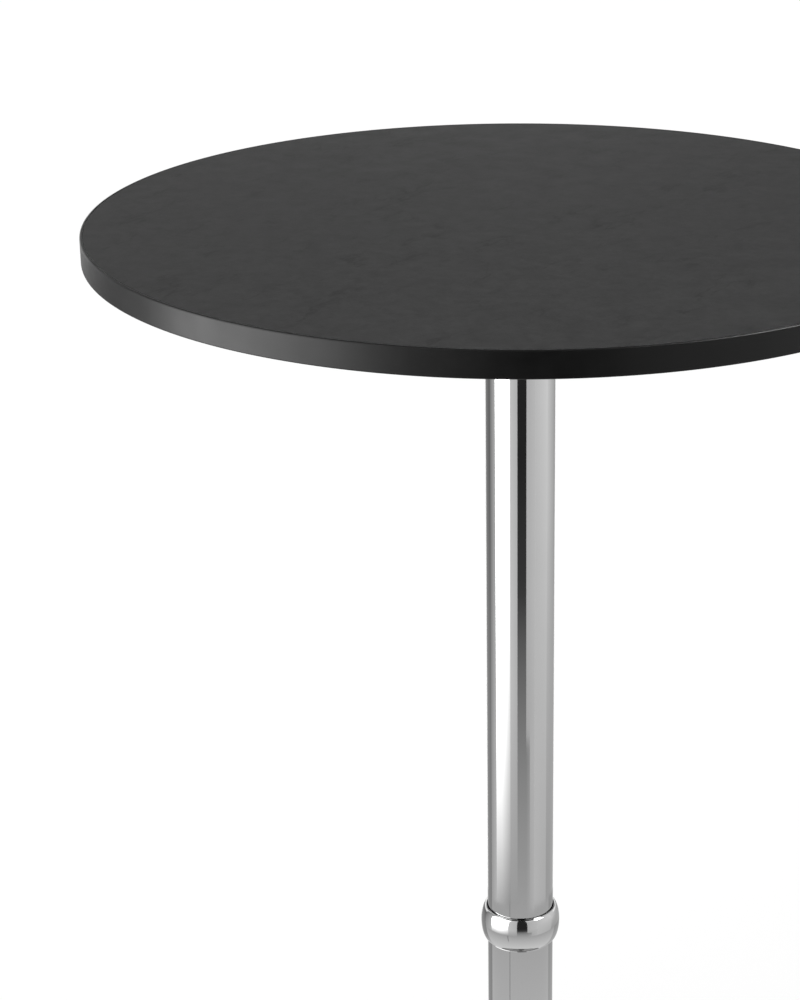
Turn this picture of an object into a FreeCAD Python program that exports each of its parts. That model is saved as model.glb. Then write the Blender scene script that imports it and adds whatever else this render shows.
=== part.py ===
"""Round pub table: a laminate-faced top on a two-piece chromed column and a weighted trumpet base.

Frame: origin on the floor under the middle of the column, +Z up, sizes in millimetres.
Each function makes one sub-part in its assembled place, and each solid is one physical piece.
"""

import FreeCAD
import Part
import math
import os

OUT = "parts"

# Overall sizes
TABLE_HEIGHT = 1020.0
TOP_DIAMETER = 600.0
TUBE_DIAMETER = 50.0
BASE_DIAMETER = 440.0

# Fits
THREAD_FIT = 0.1  # radial, between a thread's crests and the wall of its tapped hole
PLUG_FIT = 0.1  # radial, a welded plug in its tube
GLUE_LINE = 0.2  # radial, the glue between the board's edge and its band
SLIP_FIT = 0.15  # radial, parts that slide together when the table is assembled
STACK_GAP = 0.3  # between faces that come close but aren't clamped
HOLE_CLEARANCE = 0.5  # radial, a bolt in its plain hole
FULL_TURN = 360.0

# Table top: core board, two laminate sheets and an edge band
CORE_THICKNESS = 16.0
FACE_LAMINATE = 1.0
BACK_LAMINATE = 1.0
BAND_THICKNESS = 2.0
BAND_ROUND = 0.8
BAND_BUTT_GAP = 0.15
SEAM_BEVEL = 0.3

# Threaded inserts, screws and washers that hold the support cross to the top
ARM_COUNT = 4
SCREW_CIRCLE_RADIUS = 130.0
SCREW_DIAMETER = 6.0
SCREW_PITCH = 1.0
SCREW_HEAD_DIAMETER = 12.0
SCREW_HEAD_HEIGHT = 3.6
SCREW_SOCKET = 4.0
SCREW_ENGAGEMENT = 9.0
INSERT_DIAMETER = 10.0
INSERT_LENGTH = 12.0
INSERT_PITCH = 2.5
INSERT_HOLE_SPARE = 1.0
WASHER_DIAMETER = 16.0
WASHER_THICKNESS = 1.6

# Support cross, pressed from plate
CROSS_THICKNESS = 4.0
CROSS_REACH = 150.0
CROSS_ARM_WIDTH = 40.0
CROSS_DISC_RADIUS = 58.0
CROSS_INNER_ROUND = 12.0
SLOT_WIDTH = 7.0
SLOT_LENGTH = 16.0
RIB_GROOVE_RADIUS = 4.0
RIB_START = 42.0
RIB_END = 106.0
EDGE_BREAK = 0.4

# Hub under the cross, with its socket screw
HUB_HEIGHT = 16.0
HEAD_BOLT_DIAMETER = 10.0
HEAD_BOLT_PITCH = 1.5
HEAD_BOLT_HEAD_DIAMETER = 16.0
HEAD_BOLT_HEAD_HEIGHT = 10.0
HEAD_BOLT_SOCKET = 8.0
HEAD_LOCK_WASHER_DIAMETER = 17.6
HEAD_LOCK_WASHER_THICKNESS = 2.2
HEAD_SUNK_BELOW_TOP = 0.8
COUNTERBORE_SPARE = 0.7
HUB_TO_PLUG_GAP = 2.0
HEAD_PLUG_THICKNESS = 14.0

# Column tubes
TUBE_WALL = 1.5
TUBE_END_BREAK = 0.3

# Joint collar between the two tubes
COLLAR_TOP_Z = 480.0
COLLAR_HEIGHT = 28.5
COLLAR_DIAMETER = 60.0
COLLAR_BELLY_DEPTH = 13.0
COLLAR_TOP_LIP_RADIUS = 26.5
COLLAR_TOP_LIP_FLAT = 0.3
COLLAR_FUNNEL_DEPTH = 1.6
COLLAR_BOTTOM_LIP = 0.25
COLLAR_SHOULDER = 3.0
COLLAR_SHOULDER_BORE = 20.0

# Threaded plugs and stud inside the joint
JOINT_PLUG_THICKNESS = 18.0
PLUG_RECESS = 1.0
STUD_DIAMETER = 16.0
STUD_PITCH = 2.0
STUD_INSET = 1.0

# Base cover, spun from sheet and rolled under the weight
COVER_SHEET = 1.2
COVER_CORNER_ROUND = 2.4
COVER_HEM = 10.0
COVER_SKIRT_HEIGHT = 6.5
COVER_SHOULDER_ROUND = 6.0
COVER_SLOPE_DEG = 3.0
COVER_FLARE_ROUND = 40.0
COVER_NECK_RADIUS = 26.5
COVER_NECK_STRAIGHT = 4.0

# Ring that closes the neck of the cover
NECK_RING_HEIGHT = 9.0
NECK_RING_DIAMETER = 59.0
NECK_RING_FLAT = 0.8

# Cast weight inside the cover
WEIGHT_EDGE_BEVEL = 2.0
WEIGHT_RECESS = 2.5
WEIGHT_RIM = 20.0
WEIGHT_LAND_RADIUS = 46.0
WEIGHT_RIB_COUNT = 8
WEIGHT_RIB_START_DEG = 22.5
WEIGHT_RIB_WIDTH = 7.0
WEIGHT_HUB_WALL = 9.0
WEIGHT_HUB_FLOOR = 8.0
TUBE_SOCKET_DEPTH = 6.0

# Bolt that pulls the lower tube into the weight
FOOT_PLUG_THICKNESS = 18.0
BASE_BOLT_DIAMETER = 12.0
BASE_BOLT_PITCH = 1.75
BASE_BOLT_FLATS = 18.0
BASE_BOLT_HEAD_HEIGHT = 7.5
BASE_WASHER_DIAMETER = 28.0
BASE_WASHER_THICKNESS = 2.5
BASE_LOCK_WASHER_DIAMETER = 21.0
BASE_LOCK_WASHER_THICKNESS = 3.1
BASE_BOLT_SUNK = 0.9
BASE_COUNTERBORE_RADIUS = 16.0

# Levelling glides
GLIDE_COUNT = 4
GLIDE_CIRCLE_RADIUS = 170.0
GLIDE_START_DEG = 45.0
GLIDE_THREAD_DIAMETER = 8.0
GLIDE_THREAD_PITCH = 1.25
GLIDE_FLATS = 13.0
GLIDE_HEX_HEIGHT = 4.0
GLIDE_PAD_DIAMETER = 30.0
GLIDE_PAD_HEIGHT = 5.4
GLIDE_PAD_BEVEL = 1.6
GLIDE_PAD_FLOOR = 0.9
GLIDE_RIVET_RADIUS = 5.6
GLIDE_RIVET_HEIGHT = 1.5
GLIDE_RUNNING_FIT = 0.1
GLIDE_RIVET_FIT = 0.3

# Thread form, as shares of the pitch
THREAD_DEPTH_SHARE = 0.54
THREAD_CREST_SHARE = 0.125
LOCK_WASHER_SPLIT = 1.5
HEX_SIDES = 6

# Levels and radii that follow from the sizes above
top_radius = TOP_DIAMETER / 2
band_bore = top_radius - BAND_THICKNESS
board_radius = band_bore - GLUE_LINE
core_top_z = TABLE_HEIGHT - FACE_LAMINATE
core_bottom_z = core_top_z - CORE_THICKNESS
under_top_z = core_bottom_z - BACK_LAMINATE
cross_bottom_z = under_top_z - CROSS_THICKNESS
insert_radius = INSERT_DIAMETER / 2
screw_radius = SCREW_DIAMETER / 2

tube_radius = TUBE_DIAMETER / 2
tube_bore = tube_radius - TUBE_WALL
plug_radius = tube_bore - PLUG_FIT
hub_bottom_z = cross_bottom_z - HUB_HEIGHT
head_plug_top_z = hub_bottom_z - HUB_TO_PLUG_GAP
head_plug_bottom_z = head_plug_top_z - HEAD_PLUG_THICKNESS
head_bolt_radius = HEAD_BOLT_DIAMETER / 2
head_seat_z = under_top_z - HEAD_SUNK_BELOW_TOP - HEAD_BOLT_HEAD_HEIGHT
head_counterbore_z = head_seat_z - HEAD_LOCK_WASHER_THICKNESS
head_counterbore_radius = HEAD_LOCK_WASHER_DIAMETER / 2 + COUNTERBORE_SPARE

collar_bottom_z = COLLAR_TOP_Z - COLLAR_HEIGHT
collar_bore = tube_radius + SLIP_FIT
shoulder_bottom_z = collar_bottom_z + (COLLAR_HEIGHT - COLLAR_SHOULDER) / 2
shoulder_top_z = shoulder_bottom_z + COLLAR_SHOULDER
stud_radius = STUD_DIAMETER / 2

glide_thread_radius = GLIDE_THREAD_DIAMETER / 2
glide_rivet_bottom_z = GLIDE_PAD_FLOOR + GLIDE_RIVET_FIT
glide_hex_bottom_z = GLIDE_PAD_HEIGHT + STACK_GAP
glide_hex_top_z = glide_hex_bottom_z + GLIDE_HEX_HEIGHT
recess_roof_z = glide_hex_top_z + STACK_GAP

cover_radius = BASE_DIAMETER / 2
slope = math.radians(COVER_SLOPE_DEG)
weight_bottom_z = recess_roof_z - WEIGHT_RECESS
cover_bottom_z = weight_bottom_z - COVER_SHEET
skirt_top_z = cover_bottom_z + COVER_SKIRT_HEIGHT

base_bolt_radius = BASE_BOLT_DIAMETER / 2
base_seat_z = weight_bottom_z + BASE_BOLT_SUNK + BASE_BOLT_HEAD_HEIGHT
base_washer_z = base_seat_z + BASE_LOCK_WASHER_THICKNESS
base_counterbore_z = base_washer_z + BASE_WASHER_THICKNESS
tube_foot_z = base_counterbore_z + WEIGHT_HUB_FLOOR
hub_top_z = tube_foot_z + TUBE_SOCKET_DEPTH
tube_socket_radius = tube_radius + SLIP_FIT
hub_radius = tube_socket_radius + WEIGHT_HUB_WALL
foot_plug_bottom_z = tube_foot_z + PLUG_RECESS
foot_plug_top_z = foot_plug_bottom_z + FOOT_PLUG_THICKNESS


def point(r, z):
    """A point of a profile, in the plane that is turned about the column's axis."""
    return FreeCAD.Vector(r, 0, z)


def line(a, b):
    return Part.LineSegment(a, b).toShape()


def arc(centre, radius, start_deg, end_deg):
    """A round stretch of a profile, from one angle to the other, measured from the outward direction."""
    middle_deg = (start_deg + end_deg) / 2
    ends = []
    for degrees in (start_deg, middle_deg, end_deg):
        a = math.radians(degrees)
        ends.append(centre + point(radius * math.cos(a), radius * math.sin(a)))
    return Part.Arc(*ends).toShape()


def quarter_ellipse(centre, width, height, upwards):
    """A quarter of an ellipse, from its widest point to the point straight above or below the centre."""
    if width > height:
        long_axis = point(width, 0)
    else:
        long_axis = point(0, height)
    tip = centre + point(0, height if upwards else -height)
    belly = centre + point(width, 0)
    short_axis = belly - centre if width <= height else tip - centre
    major_end = centre + long_axis
    minor_end = centre + short_axis
    ellipse = Part.Ellipse(major_end, minor_end, centre)
    first = ellipse.parameter(belly)
    last = ellipse.parameter(tip)
    quarter = Part.Edge(ellipse, min(first, last), max(first, last))
    if abs(first - last) > math.pi:
        quarter = Part.Edge(ellipse, max(first, last), min(first, last) + 2 * math.pi)
    return quarter


def turned(edges):
    """The solid that a closed profile sweeps when it is turned about the column's axis."""
    wire = Part.Wire(Part.__sortEdges__(edges))
    return Part.Face(wire).revolve(FreeCAD.Vector(0, 0, 0), FreeCAD.Vector(0, 0, 1), FULL_TURN)


def turned_polygon(corners):
    """A turned solid from straight-sided corners given as (radius, height)."""
    points = [point(r, z) for r, z in corners]
    wire = Part.makePolygon(points + points[:1])
    return Part.Face(wire).revolve(FreeCAD.Vector(0, 0, 0), FreeCAD.Vector(0, 0, 1), FULL_TURN)


def cylinder(radius, bottom_z, top_z):
    return Part.makeCylinder(radius, top_z - bottom_z, FreeCAD.Vector(0, 0, bottom_z))


def ring(outer, inner, bottom_z, top_z):
    return cylinder(outer, bottom_z, top_z).cut(cylinder(inner, bottom_z, top_z))


def hexagon(flats, bottom_z, top_z):
    """An upright hexagonal prism of the given width across its flats."""
    corner = flats / 2 / math.cos(math.pi / HEX_SIDES)
    points = []
    for k in range(HEX_SIDES + 1):
        a = 2 * math.pi * k / HEX_SIDES
        points.append(FreeCAD.Vector(corner * math.cos(a), corner * math.sin(a), bottom_z))
    return Part.Face(Part.makePolygon(points)).extrude(FreeCAD.Vector(0, 0, top_z - bottom_z))


def threaded_shank(radius, pitch, bottom_z, top_z):
    """A shank with ringed grooves of the thread's depth and pitch, bevelled at both ends."""
    depth = THREAD_DEPTH_SHARE * pitch
    crest = THREAD_CREST_SHARE * pitch
    flank = (pitch - 2 * crest) / 2
    corners = [(0, bottom_z), (radius - depth, bottom_z)]
    z = bottom_z + depth
    while z + pitch < top_z - depth:
        corners.append((radius, z))
        corners.append((radius, z + crest))
        corners.append((radius - depth, z + crest + flank))
        corners.append((radius - depth, z + 2 * crest + flank))
        z += pitch
    corners.append((radius, z))
    corners.append((radius, top_z - depth))
    corners.append((radius - depth, top_z))
    corners.append((0, top_z))
    return turned_polygon(corners)


def around(shape, count, radius, start_deg=0.0):
    """Copies of a shape modelled on the column's axis, moved out to a circle and turned outwards."""
    copies = []
    for k in range(count):
        copy = shape.copy()
        copy.translate(FreeCAD.Vector(radius, 0, 0))
        copy.rotate(FreeCAD.Vector(0, 0, 0), FreeCAD.Vector(0, 0, 1), start_deg + k * FULL_TURN / count)
        copies.append(copy)
    return copies


def split_washer(outer, inner, bottom_z, top_z):
    """A spring lock washer, cut through at one side."""
    gap = Part.makeBox(
        outer,
        LOCK_WASHER_SPLIT,
        top_z - bottom_z,
        FreeCAD.Vector(0, -LOCK_WASHER_SPLIT / 2, bottom_z),
    )
    return ring(outer, inner, bottom_z, top_z).cut(gap)


def insert_holes():
    """The blind holes in the underside of the top that take the threaded inserts."""
    hole = cylinder(
        insert_radius + THREAD_FIT,
        under_top_z,
        under_top_z + INSERT_LENGTH + INSERT_HOLE_SPARE,
    )
    return Part.Compound(around(hole, ARM_COUNT, SCREW_CIRCLE_RADIUS))


def tabletop_core():
    return cylinder(board_radius, core_bottom_z, core_top_z).cut(insert_holes())


def top_laminate():
    return turned_polygon(
        [
            (0, core_top_z),
            (board_radius, core_top_z),
            (board_radius, TABLE_HEIGHT - SEAM_BEVEL),
            (board_radius - SEAM_BEVEL, TABLE_HEIGHT),
            (0, TABLE_HEIGHT),
        ]
    )


def back_laminate():
    sheet = turned_polygon(
        [
            (0, under_top_z),
            (board_radius - SEAM_BEVEL, under_top_z),
            (board_radius, under_top_z + SEAM_BEVEL),
            (board_radius, core_bottom_z),
            (0, core_bottom_z),
        ]
    )
    return sheet.cut(insert_holes())


def edge_band():
    """The plastic band round the board's edge, open where its two ends butt together at the back."""
    inner_low = point(band_bore, under_top_z + SEAM_BEVEL)
    inner_high = point(band_bore, TABLE_HEIGHT - SEAM_BEVEL)
    seam_low = point(band_bore + SEAM_BEVEL, under_top_z)
    seam_high = point(band_bore + SEAM_BEVEL, TABLE_HEIGHT)
    round_radius = top_radius - BAND_ROUND
    low_z = under_top_z + BAND_ROUND
    high_z = TABLE_HEIGHT - BAND_ROUND
    band = turned(
        [
            line(seam_low, point(round_radius, under_top_z)),
            arc(point(round_radius, low_z), BAND_ROUND, -90, 0),
            line(point(top_radius, low_z), point(top_radius, high_z)),
            arc(point(round_radius, high_z), BAND_ROUND, 0, 90),
            line(point(round_radius, TABLE_HEIGHT), seam_high),
            line(seam_high, inner_high),
            line(inner_high, inner_low),
            line(inner_low, seam_low),
        ]
    )
    gap_corner = FreeCAD.Vector(-BAND_BUTT_GAP / 2, 0, under_top_z)
    gap = Part.makeBox(BAND_BUTT_GAP, top_radius, TABLE_HEIGHT - under_top_z, gap_corner)
    return band.cut(gap)


def insert_nuts():
    body = threaded_shank(insert_radius, INSERT_PITCH, under_top_z, under_top_z + INSERT_LENGTH)
    bore = cylinder(screw_radius + THREAD_FIT, under_top_z, under_top_z + INSERT_LENGTH)
    return Part.Compound(around(body.cut(bore), ARM_COUNT, SCREW_CIRCLE_RADIUS))


def cross_arm():
    """One arm of the cross, with a round end and its pressed rib, lying along +X."""
    half = CROSS_ARM_WIDTH / 2
    blade = Part.makeBox(
        CROSS_REACH - half,
        CROSS_ARM_WIDTH,
        CROSS_THICKNESS,
        FreeCAD.Vector(0, -half, cross_bottom_z),
    )
    tip = cylinder(half, cross_bottom_z, under_top_z)
    tip.translate(FreeCAD.Vector(CROSS_REACH - half, 0, 0))
    return blade.fuse(tip).fuse(half_capsule(RIB_GROOVE_RADIUS + CROSS_THICKNESS))


def half_capsule(radius):
    """The lower half of a round-ended bar that lies along +X in the plate's upper face."""
    start = FreeCAD.Vector(RIB_START, 0, under_top_z)
    end = FreeCAD.Vector(RIB_END, 0, under_top_z)
    bar = Part.makeCylinder(radius, RIB_END - RIB_START, start, FreeCAD.Vector(1, 0, 0))
    bar = bar.fuse(Part.makeSphere(radius, start)).fuse(Part.makeSphere(radius, end))
    length = RIB_END - RIB_START + 2 * radius
    corner = FreeCAD.Vector(RIB_START - radius, -radius, under_top_z - radius)
    return bar.common(Part.makeBox(length, 2 * radius, radius, corner))


def slot():
    """The long hole in an arm, centred over its insert."""
    half = SLOT_WIDTH / 2
    straight = SLOT_LENGTH - SLOT_WIDTH
    body = Part.makeBox(
        straight,
        SLOT_WIDTH,
        CROSS_THICKNESS,
        FreeCAD.Vector(-straight / 2, -half, cross_bottom_z),
    )
    for side in (-1, 1):
        end = cylinder(half, cross_bottom_z, under_top_z)
        end.translate(FreeCAD.Vector(side * straight / 2, 0, 0))
        body = body.fuse(end)
    return body


def support_cross():
    plate = cylinder(CROSS_DISC_RADIUS, cross_bottom_z, under_top_z)
    for arm in around(cross_arm(), ARM_COUNT, 0):
        plate = plate.fuse(arm)
    plate = plate.removeSplitter()
    inner_corners = []
    for edge in plate.Edges:
        first, last = edge.Vertexes[0].Point, edge.Vertexes[-1].Point
        upright = abs(abs(first.z - last.z) - CROSS_THICKNESS) < CROSS_THICKNESS / 100
        reach = math.hypot(first.x, first.y)
        if upright and abs(reach - CROSS_DISC_RADIUS) < CROSS_DISC_RADIUS / 100:
            inner_corners.append(edge)
    plate = plate.makeFillet(CROSS_INNER_ROUND, inner_corners)
    grooves = around(half_capsule(RIB_GROOVE_RADIUS), ARM_COUNT, 0)
    slots = around(slot(), ARM_COUNT, SCREW_CIRCLE_RADIUS)
    bolt_hole = cylinder(head_counterbore_radius, cross_bottom_z, under_top_z)
    return plate.cut(Part.Compound(grooves + slots + [bolt_hole]))


def support_washers():
    washer = ring(
        WASHER_DIAMETER / 2,
        screw_radius + HOLE_CLEARANCE / 2,
        cross_bottom_z - WASHER_THICKNESS,
        cross_bottom_z,
    )
    return Part.Compound(around(washer, ARM_COUNT, SCREW_CIRCLE_RADIUS))


def support_screws():
    """Button-headed machine screws that reach up through the cross into the inserts."""
    seat_z = cross_bottom_z - WASHER_THICKNESS
    head_radius = SCREW_HEAD_DIAMETER / 2
    low_z = seat_z - SCREW_HEAD_HEIGHT
    flat_radius = head_radius / 2
    middle = point((flat_radius + head_radius) / 2 + EDGE_BREAK, low_z + SCREW_HEAD_HEIGHT / 3)
    head = turned(
        [
            line(point(0, low_z), point(flat_radius, low_z)),
            Part.Arc(point(flat_radius, low_z), middle, point(head_radius, seat_z)).toShape(),
            line(point(head_radius, seat_z), point(0, seat_z)),
            line(point(0, seat_z), point(0, low_z)),
        ]
    )
    shank = threaded_shank(screw_radius, SCREW_PITCH, seat_z, under_top_z + SCREW_ENGAGEMENT)
    socket = hexagon(SCREW_SOCKET, low_z, low_z + SCREW_HEAD_HEIGHT / 2)
    screw = head.fuse(shank).cut(socket)
    return Part.Compound(around(screw, ARM_COUNT, SCREW_CIRCLE_RADIUS))


def support_hub():
    """The boss under the cross that enters the upper tube, counterbored for the head bolt."""
    boss = turned_polygon(
        [
            (0, hub_bottom_z),
            (tube_bore - SLIP_FIT - EDGE_BREAK, hub_bottom_z),
            (tube_bore - SLIP_FIT, hub_bottom_z + EDGE_BREAK),
            (tube_bore - SLIP_FIT, cross_bottom_z),
            (0, cross_bottom_z),
        ]
    )
    counterbore = cylinder(head_counterbore_radius, head_counterbore_z, cross_bottom_z)
    bore = cylinder(head_bolt_radius + HOLE_CLEARANCE, hub_bottom_z, head_counterbore_z)
    return boss.cut(counterbore).cut(bore)


def head_bolt():
    """Socket screw that pulls the upper tube against the cross."""
    head_radius = HEAD_BOLT_HEAD_DIAMETER / 2
    head_top_z = head_seat_z + HEAD_BOLT_HEAD_HEIGHT
    head = turned_polygon(
        [
            (0, head_seat_z),
            (head_radius, head_seat_z),
            (head_radius, head_top_z - EDGE_BREAK),
            (head_radius - EDGE_BREAK, head_top_z),
            (0, head_top_z),
        ]
    )
    shank = threaded_shank(head_bolt_radius, HEAD_BOLT_PITCH, head_plug_bottom_z, head_seat_z)
    socket = hexagon(HEAD_BOLT_SOCKET, head_seat_z + HEAD_BOLT_HEAD_HEIGHT / 2, head_top_z)
    return head.fuse(shank).cut(socket)


def head_lock_washer():
    inner = head_bolt_radius + HOLE_CLEARANCE / 2
    return split_washer(HEAD_LOCK_WASHER_DIAMETER / 2, inner, head_counterbore_z, head_seat_z)


def tapped_plug(thread_radius, bottom_z, top_z):
    """A round plug welded in a tube, with a tapped hole through it."""
    blank = turned_polygon(
        [
            (0, bottom_z),
            (plug_radius - EDGE_BREAK, bottom_z),
            (plug_radius, bottom_z + EDGE_BREAK),
            (plug_radius, top_z - EDGE_BREAK),
            (plug_radius - EDGE_BREAK, top_z),
            (0, top_z),
        ]
    )
    return blank.cut(cylinder(thread_radius + THREAD_FIT, bottom_z, top_z))


def tube(bottom_z, top_z):
    """A length of the column's tube, with its outer edges broken."""
    return turned_polygon(
        [
            (tube_bore, bottom_z),
            (tube_radius - TUBE_END_BREAK, bottom_z),
            (tube_radius, bottom_z + TUBE_END_BREAK),
            (tube_radius, top_z - TUBE_END_BREAK),
            (tube_radius - TUBE_END_BREAK, top_z),
            (tube_bore, top_z),
        ]
    )


def joint_collar():
    """The rounded collar over the joint, with an inner shoulder that both tube ends close on."""
    belly_z = COLLAR_TOP_Z - COLLAR_BELLY_DEPTH
    belly_radius = COLLAR_DIAMETER / 2
    top_lip = COLLAR_TOP_LIP_RADIUS
    bottom_lip = collar_bore + COLLAR_BOTTOM_LIP
    funnel_radius = top_lip - COLLAR_TOP_LIP_FLAT
    funnel_z = COLLAR_TOP_Z - COLLAR_FUNNEL_DEPTH
    upper_centre = point(top_lip, belly_z)
    lower_centre = point(bottom_lip, belly_z)
    lower_depth = COLLAR_HEIGHT - COLLAR_BELLY_DEPTH
    bore_corners = [
        (bottom_lip, collar_bottom_z),
        (collar_bore, collar_bottom_z),
        (collar_bore, shoulder_bottom_z),
        (COLLAR_SHOULDER_BORE, shoulder_bottom_z),
        (COLLAR_SHOULDER_BORE, shoulder_top_z),
        (collar_bore, shoulder_top_z),
        (collar_bore, funnel_z),
        (funnel_radius, COLLAR_TOP_Z),
        (top_lip, COLLAR_TOP_Z),
    ]
    edges = [
        quarter_ellipse(upper_centre, belly_radius - top_lip, COLLAR_BELLY_DEPTH, True),
        quarter_ellipse(lower_centre, belly_radius - bottom_lip, lower_depth, False),
    ]
    for start, end in zip(bore_corners, bore_corners[1:]):
        edges.append(line(point(*start), point(*end)))
    return turned(edges)


def joint_stud():
    """Threaded stud that draws the two tubes together through the collar."""
    reach = PLUG_RECESS + JOINT_PLUG_THICKNESS - STUD_INSET
    return threaded_shank(stud_radius, STUD_PITCH, shoulder_bottom_z - reach, shoulder_top_z + reach)


def cover_outline(inset):
    """The cover's profile as centres, radii and tangent points, moved in from its outside by inset."""
    shoulder_centre = point(cover_radius - COVER_SHOULDER_ROUND, skirt_top_z)
    outward = point(math.sin(slope), math.cos(slope))
    shoulder_end = shoulder_centre + outward * COVER_SHOULDER_ROUND
    flare_centre_r = COVER_NECK_RADIUS + COVER_FLARE_ROUND
    rise = COVER_FLARE_ROUND - (flare_centre_r - shoulder_end.x) * math.sin(slope)
    flare_centre = point(flare_centre_r, shoulder_end.z + rise / math.cos(slope))
    return {
        "skirt_r": cover_radius - inset,
        "shoulder_centre": shoulder_centre,
        "shoulder_r": COVER_SHOULDER_ROUND - inset,
        "slope_start": shoulder_centre + outward * (COVER_SHOULDER_ROUND - inset),
        "slope_end": flare_centre - outward * (COVER_FLARE_ROUND + inset),
        "flare_centre": flare_centre,
        "flare_r": COVER_FLARE_ROUND + inset,
        "neck_r": COVER_NECK_RADIUS - inset,
    }


def cover_side(inset):
    """One face of the cover's sheet, from the hem's free edge to the top of the neck, and its two ends."""
    o = cover_outline(inset)
    corner_centre = point(cover_radius - COVER_CORNER_ROUND, cover_bottom_z + COVER_CORNER_ROUND)
    corner_r = COVER_CORNER_ROUND - inset
    hem_z = cover_bottom_z + inset
    hem_end = point(cover_radius - COVER_CORNER_ROUND - COVER_HEM, hem_z)
    neck_z = o["flare_centre"].z
    neck_top = point(o["neck_r"], neck_z + COVER_NECK_STRAIGHT)
    edges = [
        line(hem_end, point(corner_centre.x, hem_z)),
        arc(corner_centre, corner_r, -90, 0),
        line(point(o["skirt_r"], corner_centre.z), point(o["skirt_r"], skirt_top_z)),
        arc(o["shoulder_centre"], o["shoulder_r"], 0, 90 - COVER_SLOPE_DEG),
        line(o["slope_start"], o["slope_end"]),
        arc(o["flare_centre"], o["flare_r"], 270 - COVER_SLOPE_DEG, 180),
        line(point(o["neck_r"], neck_z), neck_top),
    ]
    return edges, hem_end, neck_top


def base_cover():
    outer, outer_hem, outer_neck = cover_side(0)
    inner, inner_hem, inner_neck = cover_side(COVER_SHEET)
    return turned(outer + inner + [line(outer_hem, inner_hem), line(outer_neck, inner_neck)])


def neck_top_z():
    return cover_outline(0)["flare_centre"].z + COVER_NECK_STRAIGHT


def neck_ring():
    """Half-round ring that sits on the cover's neck and closes it to the tube."""
    low_z = neck_top_z()
    high_z = low_z + NECK_RING_HEIGHT
    bore = tube_radius + SLIP_FIT
    edge_r = COVER_NECK_RADIUS + NECK_RING_FLAT
    belly = point(NECK_RING_DIAMETER / 2, (low_z + high_z) / 2)
    return turned(
        [
            line(point(bore, low_z), point(edge_r, low_z)),
            Part.Arc(point(edge_r, low_z), belly, point(edge_r, high_z)).toShape(),
            line(point(edge_r, high_z), point(bore, high_z)),
            line(point(bore, high_z), point(bore, low_z)),
        ]
    )


def weight_outline():
    """The cover's profile, moved in to the casting's own face."""
    return cover_outline(COVER_SHEET + STACK_GAP)


def weight_top_z(r):
    """The height of the casting's sloping top at a radius."""
    inner_end = weight_outline()["slope_end"]
    return inner_end.z + (inner_end.x - r) * math.tan(slope)


def weight_blank():
    """The casting before its recess and holes: a disc that follows the cover, with a hub for the tube."""
    o = weight_outline()
    edge_r = o["skirt_r"]
    corners = [
        point(hub_radius, weight_top_z(hub_radius)),
        point(hub_radius, hub_top_z),
        point(0, hub_top_z),
        point(0, weight_bottom_z),
        point(edge_r - WEIGHT_EDGE_BEVEL, weight_bottom_z),
        point(edge_r, weight_bottom_z + WEIGHT_EDGE_BEVEL),
        point(edge_r, skirt_top_z),
    ]
    edges = [line(start, end) for start, end in zip(corners, corners[1:])]
    edges.append(arc(o["shoulder_centre"], o["shoulder_r"], 0, 90 - COVER_SLOPE_DEG))
    edges.append(line(o["slope_start"], corners[0]))
    return turned(edges)


def weight_recess():
    """The shallow recess under the casting, between its hub, its rim and the ribs that join them."""
    rim_r = weight_outline()["skirt_r"] - WEIGHT_RIM
    recess = ring(rim_r, WEIGHT_LAND_RADIUS, weight_bottom_z, recess_roof_z)
    corner = FreeCAD.Vector(0, -WEIGHT_RIB_WIDTH / 2, weight_bottom_z)
    rib = Part.makeBox(rim_r, WEIGHT_RIB_WIDTH, WEIGHT_RECESS, corner)
    ribs = around(rib, WEIGHT_RIB_COUNT, 0, WEIGHT_RIB_START_DEG)
    return recess.cut(Part.Compound(ribs))


def base_weight():
    casting = weight_blank().cut(weight_recess())
    socket = cylinder(tube_socket_radius, tube_foot_z, hub_top_z)
    bolt_hole = cylinder(base_bolt_radius + HOLE_CLEARANCE, weight_bottom_z, tube_foot_z)
    counterbore = cylinder(BASE_COUNTERBORE_RADIUS, weight_bottom_z, base_counterbore_z)
    thread = cylinder(glide_thread_radius + GLIDE_RUNNING_FIT, weight_bottom_z, hub_top_z)
    threads = around(thread, GLIDE_COUNT, GLIDE_CIRCLE_RADIUS, GLIDE_START_DEG)
    return casting.cut(Part.Compound([socket, bolt_hole, counterbore] + threads))


def base_bolt():
    """Hexagon bolt that holds the lower tube down in its socket."""
    low_z = base_seat_z - BASE_BOLT_HEAD_HEIGHT
    corner = BASE_BOLT_FLATS / 2 / math.cos(math.pi / HEX_SIDES)
    bevel = turned_polygon(
        [
            (0, low_z),
            (BASE_BOLT_FLATS / 2 - EDGE_BREAK, low_z),
            (corner, low_z + (corner - BASE_BOLT_FLATS / 2 + EDGE_BREAK) / 2),
            (corner, base_seat_z),
            (0, base_seat_z),
        ]
    )
    head = hexagon(BASE_BOLT_FLATS, low_z, base_seat_z).common(bevel)
    return head.fuse(threaded_shank(base_bolt_radius, BASE_BOLT_PITCH, base_seat_z, foot_plug_top_z))


def base_lock_washer():
    inner = base_bolt_radius + HOLE_CLEARANCE / 2
    return split_washer(BASE_LOCK_WASHER_DIAMETER / 2, inner, base_seat_z, base_washer_z)


def base_washer():
    inner = base_bolt_radius + HOLE_CLEARANCE / 2
    return ring(BASE_WASHER_DIAMETER / 2, inner, base_washer_z, base_counterbore_z)


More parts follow.
